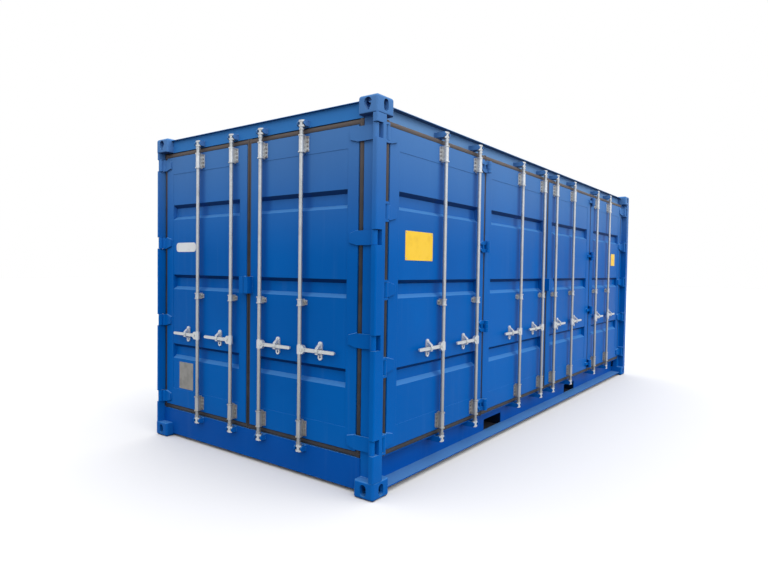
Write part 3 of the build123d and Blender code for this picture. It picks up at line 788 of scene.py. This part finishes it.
# hexagon bolts with a washer, standing on points and turned at random about their axis
def buildBolts():
    tree, given, sink = newTree(
        "hexBolts",
        [
            ("Head Radius", "Float", 0.009),
            ("Head Height", "Float", 0.006),
            ("Head Sides", "Int", 6),
            ("Washer Radius", "Float", 0.013),
            ("Washer Height", "Float", 0.002),
            ("Washer Sides", "Int", 14),
            ("Seed", "Int", 7),
            ("Finish", "Material", None),
        ],
    )
    join = addNode(tree, "GeometryNodeJoinGeometry")
    foot = 0.0
    for part in ("Washer", "Head"):
        height = given[part + " Height"]
        sockets = {
            "Vertices": given[part + " Sides"],
            "Radius": given[part + " Radius"],
            "Depth": height,
        }
        disc = addNode(tree, "GeometryNodeMeshCylinder", sockets)
        middle = mathOf(tree, "ADD", timesBy(tree, height, 0.5), foot)
        up = addNode(tree, "ShaderNodeCombineXYZ", {"Z": middle})
        sockets = {"Geometry": disc.outputs["Mesh"], "Translation": up.outputs["Vector"]}
        move = addNode(tree, "GeometryNodeTransform", sockets)
        feedAll(tree, join, {"Geometry": move.outputs["Geometry"]})
        foot = height
    # socket 3 is the upper end of the random number
    sockets = {3: math.tau, "Seed": given["Seed"]}
    spin = addNode(tree, "FunctionNodeRandomValue", sockets, data_type="FLOAT")
    turn = addNode(tree, "ShaderNodeCombineXYZ", {"Z": spin.outputs[1]})
    rest = addNode(tree, "FunctionNodeEulerToRotation", {"Euler": turn.outputs["Vector"]})
    facing = addNode(
        tree, "GeometryNodeInputNamedAttribute", {"Name": "facing"}, data_type="FLOAT_VECTOR"
    )
    sockets = {"Vector": facing.outputs["Attribute"]}
    aim = addNode(tree, "FunctionNodeAlignRotationToVector", sockets, axis="Z")
    sockets = {"Rotation": aim.outputs["Rotation"], "Rotate By": rest.outputs["Rotation"]}
    both = addNode(tree, "FunctionNodeRotateRotation", sockets, rotation_space="LOCAL")
    sockets = {
        "Points": given["Geometry"],
        "Instance": join.outputs["Geometry"],
        "Rotation": both.outputs["Rotation"],
    }
    stand = addNode(tree, "GeometryNodeInstanceOnPoints", sockets)
    return closeTree(tree, given, sink, stand.outputs["Instances"])


hexBolts = buildBolts()


def standBolts(name, spots, finish, look, body):
    values = {
        "Finish": finish,
        "Head Radius": look["radius"],
        "Head Height": look["height"],
        "Head Sides": look["sides"],
        "Washer Radius": look["washerRadius"],
        "Washer Height": look["washerHeight"],
        "Seed": look["seed"],
    }
    growPiece(name, pointMesh(name, spots), hexBolts, values, body)


# rod brackets, near the top and the foot of a leaf
brackets = {"margin": 0.012, "length": 0.122, "flangeThickness": 0.006}


def bracketSpans():
    low = layout["leafBottom"] + brackets["margin"]
    high = layout["leafTop"] - brackets["margin"]
    return ((low, low + brackets["length"]), (high - brackets["length"], high))


# bolts that hold the brackets and guides to the leaves
bracketBolts = {
    "acrossFlange": 0.0305,
    "fromBracketEnd": 0.016,
    "perFlange": 4,
    "acrossGuide": 0.029,
    "radius": 0.0075,
    "height": 0.008,
    "sides": 6,
    "washerRadius": 0.0098,
    "washerHeight": 0.002,
    "seed": 11,
}


def boltSpots(leaf, look):
    places = []
    for u in leaf["rods"]:
        onFlange = u + leaf["flange"] * look["acrossFlange"]
        for low, high in bracketSpans():
            ends = (low + look["fromBracketEnd"], high - look["fromBracketEnd"])
            places += [(onFlange, z) for z in evenSteps(*ends, look["perFlange"])]
        for hand in (-1, 1):
            places.append((u + hand * look["acrossGuide"], layout["guideHeight"]))
    depth = layout["leafFace"] - brackets["flangeThickness"]
    wall = leaf["wall"]
    return [(onWall(wall, u, depth, z), outOf(wall)) for u, z in places]


for body, leaf in leaves.items():
    standBolts(body + "_bolts", boltSpots(leaf, bracketBolts), boltZinc, bracketBolts, body)
print("bolts placed")

# the pin that holds each handle to the hub of its rod
hubPins = {
    "fromRod": 0.030,
    "depth": 0.012,
    "radius": 0.009,
    "height": 0.005,
    "sides": 16,
    "washerRadius": 0.0126,
    "washerHeight": 0.002,
    "seed": 5,
}

for rodBody, leaf, u in eachRod():
    across = u + leaf["handle"] * hubPins["fromRod"]
    place = onWall(leaf["wall"], across, hubPins["depth"], layout["handleHeight"])
    spots = [(place, outOf(leaf["wall"]))]
    standBolts(rodBody + "_pin", spots, galvanised, hubPins, rodBody)
print("handle pins placed")

# saddles: a bent strap over each handle at its catch
saddles = {
    "fromRod": 0.170,
    "halfWidth": 0.0125,
    "halfHeight": 0.0155,
    "steps": 10,
    "back": 0.0182,
    "ends": 0.0168,
    "bulge": 0.0068,
}


def makeSaddle(rodBody, wall, u, look):
    points = []
    faces = []
    for lean in evenSteps(-1, 1, look["steps"] + 1):
        z = layout["handleHeight"] + lean * look["halfHeight"]
        front = look["ends"] - look["bulge"] * math.cos(lean * math.pi / 2)
        for depth in (front, look["back"]):
            points += [onWall(wall, u + hand * look["halfWidth"], depth, z) for hand in (-1, 1)]
    for i in range(look["steps"]):
        a = 4 * i
        faces += [(a, a + 1, a + 5, a + 4), (a + 2, a + 6, a + 7, a + 3)]
        faces += [(a, a + 4, a + 6, a + 2), (a + 1, a + 3, a + 7, a + 5)]
    last = 4 * look["steps"]
    faces += [(0, 2, 3, 1), (last, last + 1, last + 3, last + 2)]
    piece = fromFaces(rodBody + "_saddle", points, faces, galvanised, rodBody)


for rodBody, leaf, u in eachRod():
    makeSaddle(rodBody, leaf["wall"], u + leaf["handle"] * saddles["fromRod"], saddles)
print("handle saddles bent")


# collars: a square ring round each end of a bracket's sleeve
def buildCollars():
    tree, given, sink = newTree(
        "sleeveCollars",
        [
            ("Ring Radius", "Float", 0.0185),
            ("Ring Width", "Float", 0.005),
            ("Ring Steps", "Int", 24),
            ("Finish", "Material", None),
        ],
    )
    sockets = {"Radius": given["Ring Radius"], "Resolution": given["Ring Steps"]}
    ring = addNode(tree, "GeometryNodeCurvePrimitiveCircle", sockets, mode="RADIUS")
    sockets = {"Width": given["Ring Width"], "Height": given["Ring Width"]}
    section = addNode(tree, "GeometryNodeCurvePrimitiveQuadrilateral", sockets, mode="RECTANGLE")
    sockets = {"Curve": ring.outputs["Curve"], "Profile Curve": section.outputs["Curve"]}
    swept = addNode(tree, "GeometryNodeCurveToMesh", sockets)
    sockets = {"Points": given["Geometry"], "Instance": swept.outputs["Mesh"]}
    stand = addNode(tree, "GeometryNodeInstanceOnPoints", sockets)
    return closeTree(tree, given, sink, stand.outputs["Instances"])


sleeveCollars = buildCollars()
collars = {"fromEnd": 0.0040, "radius": 0.0190, "width": 0.008, "guideLength": 0.050}


def collarSpots(leaf, look):
    half = look["guideLength"] / 2
    guide = (layout["guideHeight"] - half, layout["guideHeight"] + half)
    spots = []
    for u in leaf["rods"]:
        for low, high in (*bracketSpans(), guide):
            for z in (low + look["fromEnd"], high - look["fromEnd"]):
                place = onWall(leaf["wall"], u, layout["rodDepth"], z)
                spots.append((place, Vector((0, 0, 1))))
    return spots


for body, leaf in leaves.items():
    values = {
        "Finish": castZinc,
        "Ring Radius": collars["radius"],
        "Ring Width": collars["width"],
    }
    mesh = pointMesh(body + "_collars", collarSpots(leaf, collars))
    growPiece(body + "_collars", mesh, sleeveCollars, values, body)
print("sleeve collars placed")

# heights of the lowest and the highest hinge of a leaf
hinges = {"low": 0.344, "high": 2.366}

# the block between the outer knuckles of a folding hinge, behind the pin
foldBlocks = {
    "joint": 1.4355,
    "count": 4,
    "half": 0.0165,
    "u": (0.001, 0.046),
    "depth": (0.0475, 0.0615),
}


def makeFoldBlocks(body, side, look):
    points = []
    faces = []
    sides = ((0, 2, 3, 1), (4, 5, 7, 6), (0, 1, 5, 4), (2, 6, 7, 3), (0, 4, 6, 2), (1, 3, 7, 5))
    spanU = sorted(side * (look["joint"] + u) for u in look["u"])
    for z in evenSteps(hinges["low"], hinges["high"], look["count"]):
        first = len(points)
        for v in (z - look["half"], z + look["half"]):
            for depth in look["depth"]:
                points += [onWall("side", u, depth, v) for u in spanU]
        faces += [tuple(first + corner for corner in face) for face in sides]
    piece = fromFaces(body + "_hinge_blocks", points, faces, bluePaint, body)


makeFoldBlocks("side_door_1", -1, foldBlocks)
makeFoldBlocks("side_door_4", 1, foldBlocks)
print("hinge blocks placed")


# weld seams: overlapping beads that follow a path
def buildWelds():
    tree, given, sink = newTree(
        "weldSeams",
        [
            ("Bead Radius", "Float", 0.0040),
            ("Bead Step", "Float", 0.0045),
            ("Bead Rounds", "Int", 2),
            ("Least Swell", "Float", 0.85),
            ("Most Swell", "Float", 1.15),
            ("Seed", "Int", 3),
            ("Finish", "Material", None),
        ],
    )
    path = addNode(tree, "GeometryNodeMeshToCurve", {"Mesh": given["Geometry"]})
    sockets = {"Curve": path.outputs["Curve"], "Length": given["Bead Step"]}
    steps = addNode(tree, "GeometryNodeCurveToPoints", sockets, mode="LENGTH")
    sockets = {"Radius": given["Bead Radius"], "Subdivisions": given["Bead Rounds"]}
    bead = addNode(tree, "GeometryNodeMeshIcoSphere", sockets)
    # sockets 2 and 3 are the ends of the random number
    sockets = {2: given["Least Swell"], 3: given["Most Swell"], "Seed": given["Seed"]}
    swell = addNode(tree, "FunctionNodeRandomValue", sockets, data_type="FLOAT")
    sockets = {
        "Points": steps.outputs["Points"],
        "Instance": bead.outputs["Mesh"],
        "Scale": swell.outputs[1],
    }
    stand = addNode(tree, "GeometryNodeInstanceOnPoints", sockets)
    return closeTree(tree, given, sink, stand.outputs["Instances"])


weldSeams = buildWelds()

# how far a strap reaches along and above and below the middle of its hinge
strapKinds = {
    "post": {"length": 0.068, "span": (-0.048, 0.048)},
    "foldLow": {"length": 0.038, "span": (-0.048, -0.0175)},
    "foldHigh": {"length": 0.038, "span": (0.0175, 0.048)},
    "foldMiddle": {"length": 0.038, "span": (-0.016, 0.016)},
}
# hinge straps on the leaves: the edge they start from, the way they point, their number and kind
straps = {
    "rear_left_door": [(-1.142, 1, 4, "post")],
    "rear_right_door": [(1.022, -1, 4, "post")],
    "side_door_1": [
        (-2.811, 1, 5, "post"),
        (-1.4795, -1, 4, "foldLow"),
        (-1.4795, -1, 4, "foldHigh"),
    ],
    "side_door_2": [(-1.3915, 1, 4, "foldMiddle")],
    "side_door_3": [(1.3915, -1, 4, "foldMiddle")],
    "side_door_4": [
        (2.811, -1, 5, "post"),
        (1.4795, 1, 4, "foldLow"),
        (1.4795, 1, 4, "foldHigh"),
    ],
}
# halves of the lock boxes: the joint they sit on and their side of it
lockBoxes = {
    "rear_left_door": (-0.060, -1),
    "rear_right_door": (-0.060, 1),
    "side_door_2": (0.0, -1),
    "side_door_3": (0.0, 1),
}
seams = {
    "proud": 0.001,
    "tipHalf": 0.030,
    "boxNear": 0.024,
    "boxFar": 0.050,
    "boxLow": 1.2915,
    "boxHigh": 1.4185,
}


def strapPaths(wall, edge, way, count, kind):
    paths = []
    depth = layout["leafFace"] - seams["proud"]
    below, above = strapKinds[kind]["span"]
    tip = edge + way * strapKinds[kind]["length"]
    for z in evenSteps(hinges["low"], hinges["high"], count):
        lowTip = z + max(below, -seams["tipHalf"])
        highTip = z + min(above, seams["tipHalf"])
        corners = ((edge, z + below), (tip, lowTip), (tip, highTip), (edge, z + above))
        paths.append([onWall(wall, u, depth, v) for u, v in corners])
    return paths


def boxPath(wall, joint, way):
    depth = layout["leafFace"] - seams["proud"]
    near = joint + way * seams["boxNear"]
    far = joint + way * seams["boxFar"]
    corners = ((near, seams["boxHigh"]), (far, seams["boxHigh"]), (far, seams["boxLow"]))
    return [onWall(wall, u, depth, v) for u, v in corners]


def layWelds(name, paths, body):
    values = {"Finish": weldPaint}
    growPiece(name, pathMesh(name, paths), weldSeams, values, body)


for body, leaf in leaves.items():
    paths = []
    for strap in straps[body]:
        paths += strapPaths(leaf["wall"], *strap)
    if body in lockBoxes:
        paths.append(boxPath(leaf["wall"], *lockBoxes[body]))
    layWelds(body + "_welds", paths, body)

# keepers on the headers and sills: heights of their seams and depths of the faces they stand on
keeperSeams = {
    "halfWidth": 0.037,
    "sill": (0.192, 0.232),
    "header": (2.478, 2.518),
    "faces": {"rear": {"sill": 0.062, "header": 0.062}, "side": {"sill": 0.145, "header": 0.112}},
}
# inner corners of the posts at the castings
cornerSeams = {
    "castingTop": 0.119,
    "castingUnder": 2.472,
    "recess": 0.065,
    "endStrip": 0.039,
    "endJamb": 1.066,
    "sideStrip": 0.098,
    "sideJamb": 2.853,
}


def keeperPaths(look):
    paths = []
    for rodBody, leaf, u in eachRod():
        wall = leaf["wall"]
        left, right = u - look["halfWidth"], u + look["halfWidth"]
        for beam in ("sill", "header"):
            low, high = look[beam]
            depth = look["faces"][wall][beam] - seams["proud"]
            corners = ((left, low), (left, high), (right, high), (right, low), (left, low))
            paths.append([onWall(wall, a, depth, b) for a, b in corners])
    return paths


def cornerPaths(look):
    paths = []
    recess = look["recess"]
    endSpan = (-layout["sideY"] - look["endStrip"], look["endJamb"])
    sideSpan = (-layout["rearX"] - look["sideStrip"], look["sideJamb"])
    for z in (look["castingTop"], look["castingUnder"]):
        paths.append([onWall("rear", u, recess, z) for u in endSpan])
        for way in (-1, 1):
            paths.append([onWall("side", way * u, recess, z) for u in sideSpan])
    return paths


layWelds("frame_welds", keeperPaths(keeperSeams) + cornerPaths(cornerSeams), "frame")
print("weld seams laid")


# plywood floor: boards on a grid, each with its own tone
def buildFloor():
    tree, given, sink = newTree(
        "floorGrid",
        [
            ("Centre", "Vector", (0.0, 0.0, 0.0)),
            ("Span X", "Float", 4.0),
            ("Span Y", "Float", 1.0),
            ("Count X", "Int", 5),
            ("Count Y", "Int", 2),
            ("Board Size", "Vector", (1.0, 1.0, 0.028)),
            ("Seed", "Int", 4),
            ("Finish", "Material", None),
        ],
    )
    sockets = {
        "Size X": given["Span X"],
        "Size Y": given["Span Y"],
        "Vertices X": given["Count X"],
        "Vertices Y": given["Count Y"],
    }
    grid = addNode(tree, "GeometryNodeMeshGrid", sockets)
    sockets = {"Geometry": grid.outputs["Mesh"], "Translation": given["Centre"]}
    move = addNode(tree, "GeometryNodeTransform", sockets)
    board = addNode(tree, "GeometryNodeMeshCube", {"Size": given["Board Size"]})
    sockets = {"Points": move.outputs["Geometry"], "Instance": board.outputs["Mesh"]}
    stand = addNode(tree, "GeometryNodeInstanceOnPoints", sockets)
    sockets = {"Seed": given["Seed"]}
    tone = addNode(tree, "FunctionNodeRandomValue", sockets, data_type="FLOAT")
    sockets = {
        "Geometry": stand.outputs["Instances"],
        "Name": "boardTone",
        "Value": tone.outputs[1],
    }
    kinds = {"data_type": "FLOAT", "domain": "INSTANCE"}
    keep = addNode(tree, "GeometryNodeStoreNamedAttribute", sockets, **kinds)
    return closeTree(tree, given, sink, keep.outputs["Geometry"])


floorPlan = {"along": 5, "across": 2, "gap": 0.004}


def layFloor(look):
    low, high = (Vector(corner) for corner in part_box("floor"))
    pitchX = (high.x - low.x) / look["along"]
    pitchY = (high.y - low.y) / look["across"]
    values = {
        "Centre": tuple((low + high) / 2),
        "Span X": pitchX * (look["along"] - 1),
        "Span Y": pitchY * (look["across"] - 1),
        "Count X": look["along"],
        "Count Y": look["across"],
        "Board Size": (pitchX - look["gap"], pitchY - look["gap"], high.z - low.z),
        "Finish": floorBoards,
    }
    mesh = pointMesh("floor_boards", [])
    boards = growPiece("floor_boards", mesh, buildFloor(), values, "frame")
    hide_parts("floor")


# floor screws: rows across the boards
floorScrews = {
    "rows": 15,
    "columns": 16,
    "margin": 0.045,
    "radius": 0.0060,
    "height": 0.0008,
    "sides": 10,
    "washerRadius": 0.0075,
    "washerHeight": 0.0004,
    "seed": 2,
}


def screwSpots(look):
    low, high = (Vector(corner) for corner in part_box("floor"))
    margin = look["margin"]
    spots = []
    for x in evenSteps(low.x + margin, high.x - margin, look["rows"]):
        for y in evenSteps(low.y + margin, high.y - margin, look["columns"]):
            spots.append((Vector((x, y, high.z)), Vector((0, 0, 1))))
    return spots


layFloor(floorPlan)
standBolts("floor_screws", screwSpots(floorScrews), galvanised, floorScrews, "frame")
print("floor laid")

# plates and stickers on the leaves: a thin sheet with rounded corners
plateSheet = {"depth": 0.0620, "thick": 0.0015, "cornerSteps": 6}
plates = {
    "rear_mark_plate": {
        "body": "side_door_1",
        "u": (-2.617, -2.262),
        "z": (1.555, 1.760),
        "corner": 0.006,
        "finish": yellowPlate,
        "riveted": True,
    },
    "front_mark_plate": {
        "body": "side_door_4",
        "u": (2.382, 2.562),
        "z": (1.584, 1.747),
        "corner": 0.006,
        "finish": yellowPlate,
        "riveted": True,
    },
    "data_plate": {
        "body": "rear_left_door",
        "u": (-0.957, -0.763),
        "z": (0.438, 0.667),
        "corner": 0.004,
        "finish": greyPlate,
        "riveted": True,
    },
    "owner_sticker": {
        "body": "rear_left_door",
        "u": (-1.005, -0.730),
        "z": (1.614, 1.692),
        "corner": 0.030,
        "finish": whiteSticker,
        "riveted": False,
    },
}
plateRivets = {
    "margin": 0.012,
    "radius": 0.0035,
    "height": 0.0018,
    "sides": 10,
    "washerRadius": 0.00525,
    "washerHeight": 0.0005,
    "seed": 9,
}


def roundedOutline(look):
    corner = look["corner"]
    lowU, highU = look["u"][0] + corner, look["u"][1] - corner
    lowZ, highZ = look["z"][0] + corner, look["z"][1] - corner
    outline = []
    middles = ((highU, highZ, 0), (lowU, highZ, 90), (lowU, lowZ, 180), (highU, lowZ, 270))
    for u, z, start in middles:
        for degrees in evenSteps(start, start + 90, plateSheet["cornerSteps"]):
            angle = math.radians(degrees)
            outline.append((u + corner * math.cos(angle), z + corner * math.sin(angle)))
    return outline


def makePlatePiece(name, look):
    wall = leaves[look["body"]]["wall"]
    outline = roundedOutline(look)
    count = len(outline)
    front = plateSheet["depth"] - plateSheet["thick"]
    points = [onWall(wall, u, d, z) for d in (plateSheet["depth"], front) for u, z in outline]
    faces = [tuple(range(count, 2 * count)), tuple(reversed(range(count)))]
    faces += [(i, (i + 1) % count, count + (i + 1) % count, count + i) for i in range(count)]
    fromFaces(name, points, faces, look["finish"], look["body"])


def rivetSpots(look, margin):
    wall = leaves[look["body"]]["wall"]
    depth = plateSheet["depth"] - plateSheet["thick"]
    spots = []
    for u in (look["u"][0] + margin, look["u"][1] - margin):
        for z in (look["z"][0] + margin, look["z"][1] - margin):
            spots.append((onWall(wall, u, depth, z), outOf(wall)))
    return spots


for name, look in plates.items():
    makePlatePiece(name, look)
    if look["riveted"]:
        spots = rivetSpots(look, plateRivets["margin"])
        standBolts(name + "_rivets", spots, galvanised, plateRivets, look["body"])
print("plates placed")

# studio: pale floor, white surroundings, a sky that is brighter overhead and a weak, wide key
studio = {
    "floorSeen": (0.72, 0.72, 0.73),
    "floorBounce": (0.19, 0.19, 0.20),
    "floorHalf": 60,
    "floorRough": 0.9,
    "floorSpecular": 0.1,
    "skyHorizon": 0.62,
    "skyZenith": 1.80,
    "keyStrength": 1.3,
    "keyAngle": 80,
    "keyFrom": (-0.16, -0.90, 0.75),
}


def seenDirectly(tree):
    path = addNode(tree, "ShaderNodeLightPath").outputs
    return mathOf(tree, "MAXIMUM", path["Is Camera Ray"], path["Is Glossy Ray"])


def buildSky(look):
    world = bpy.data.worlds.new("studioSky")
    scene.world = world
    world.use_nodes = True
    tree = world.node_tree
    height = splitOf(tree, placeOf(tree, "Generated"))["Z"]
    ends = (look["skyHorizon"], look["skyZenith"])
    sky = rangeOf(tree, height, 0.0, 1.0, *ends, smooth=False)
    strength = rangeOf(tree, seenDirectly(tree), 0.0, 1.0, sky, 1.0, smooth=False)
    feedAll(tree, tree.nodes["Background"], {"Color": (1, 1, 1), "Strength": strength})


def buildGround(look):
    mesh = bpy.data.meshes.new("studioFloor")
    half = look["floorHalf"]
    corners = [(-half, -half, 0), (half, -half, 0), (half, half, 0), (-half, half, 0)]
    mesh.from_pydata(corners, [], [(0, 1, 2, 3)])
    fixed = {"Roughness": look["floorRough"], "Specular IOR Level": look["floorSpecular"]}
    material, tree, shader = newMaterial("studioFloor", fixed)
    colour = blendColours(tree, seenDirectly(tree), look["floorBounce"], look["floorSeen"])
    feedAll(tree, shader, {"Base Color": colour})
    mesh.materials.append(material)
    addObject("studioFloor", mesh)


def buildKey(look):
    lamp = bpy.data.lights.new("softKey", "SUN")
    lamp.energy = look["keyStrength"]
    lamp.angle = math.radians(look["keyAngle"])
    key = addObject("softKey", lamp)
    key.rotation_mode = "QUATERNION"
    key.rotation_quaternion = Vector(look["keyFrom"]).to_track_quat("Z", "Y")


buildSky(studio)
buildGround(studio)
buildKey(studio)

# camera at the photograph's corner view
view = {
    "place": (-5.9002, -3.4301, 1.4883),
    "azimuth": -53.26,
    "elevation": 1.839,
    "roll": 0.823,
    "lens": 27.04,
    "sensor": 36,
    "clipEnd": 200,
}


def buildCamera(look):
    data = bpy.data.cameras.new("cornerCamera")
    data.sensor_width = look["sensor"]
    data.lens = look["lens"]
    data.clip_end = look["clipEnd"]
    camera = addObject("cornerCamera", data)
    turn, tilt, roll = (math.radians(look[label]) for label in ("azimuth", "elevation", "roll"))
    level = math.cos(tilt)
    back = Vector((math.sin(turn) * level, -math.cos(turn) * level, math.sin(tilt)))
    right = Vector((math.cos(turn), math.sin(turn), 0))
    up = back.cross(right)
    rolledRight = math.cos(roll) * right + math.sin(roll) * up
    rolledUp = -math.sin(roll) * right + math.cos(roll) * up
    matrix = Matrix((rolledRight, rolledUp, back)).transposed().to_4x4()
    matrix.translation = Vector(look["place"])
    camera.matrix_world = matrix
    scene.camera = camera


buildCamera(view)
print("studio and camera set")
